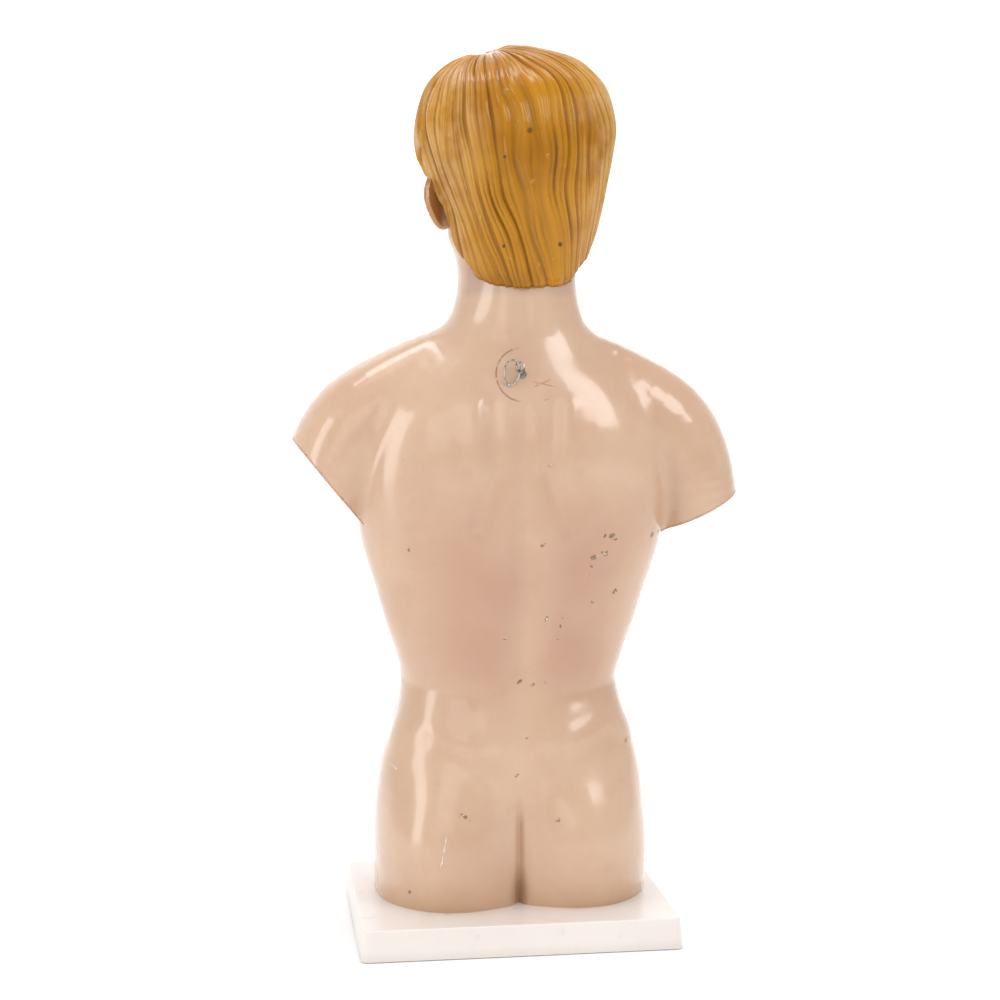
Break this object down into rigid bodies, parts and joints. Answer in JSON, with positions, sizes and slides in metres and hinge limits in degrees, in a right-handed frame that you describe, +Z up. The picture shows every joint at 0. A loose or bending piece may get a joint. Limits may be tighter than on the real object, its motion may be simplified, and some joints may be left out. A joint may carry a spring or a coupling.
{
  "type": "display torso mannequin",
  "caption": "Half-size hollow-moulded male display torso with sculpted hair, cut arm stumps and a wire hanging ring, on a rectangular moulded base.",
  "frame": {"origin": "centre of the base's underside, on the ground", "axes": "+Z up, the figure faces -Y with its back to +Y, its left arm on +X"},
  "size_m": [0.2537, 0.1435, 0.5],
  "materials": {
    "skin": "painted moulded plastic, glossy, chipped in places",
    "hair": "golden ochre gloss paint over sculpted strands, darker in the grooves",
    "base": "ivory injection-moulded plastic, lightly scuffed",
    "closure": "grey moulded plastic",
    "block": "sawn hardwood",
    "wire": "polished chromed wire, tarnished in places",
    "steel": "zinc-plated steel",
    "brass": "knurled brass",
    "rubber": "black rubber",
    "dowel": "natural nylon",
    "skin_cut": "painted moulded plastic, redder at the cut"
  },
  "bodies": {
    "figure": {"back_shell": "skin", "front_shell": "skin", "hair_cap": "hair", "arm_cap_left": "skin_cut", "arm_cap_right": "skin_cut", "bottom_closure": "closure", "closure_screws": "steel", "base_plate": "base", "base_feet": "rubber", "base_screws": "steel", "base_washers": "steel", "base_inserts": "brass", "seam_dowels": "dowel", "hanger_block": "block", "hanger_washer": "steel"},
    "eye": {"hanger_eye": "wire", "hanger_nut": "steel"},
    "ring": {"hanger_ring": "wire"}
  },
  "joints": [
    {"name": "eye_swivel", "type": "hinge", "parent": "figure", "child": "eye", "pos_m": [-0.0035, 0.0365, 0.3173], "axis": [0, 0.9721, 0.2347], "range_deg": [-24, 24]},
    {"name": "ring_swing", "type": "hinge", "parent": "eye", "child": "ring", "pos_m": [-0.00229, 0.0415, 0.32434], "axis": [0, 0.2553, 0.9669], "range_deg": [0, 45]}
  ]
}
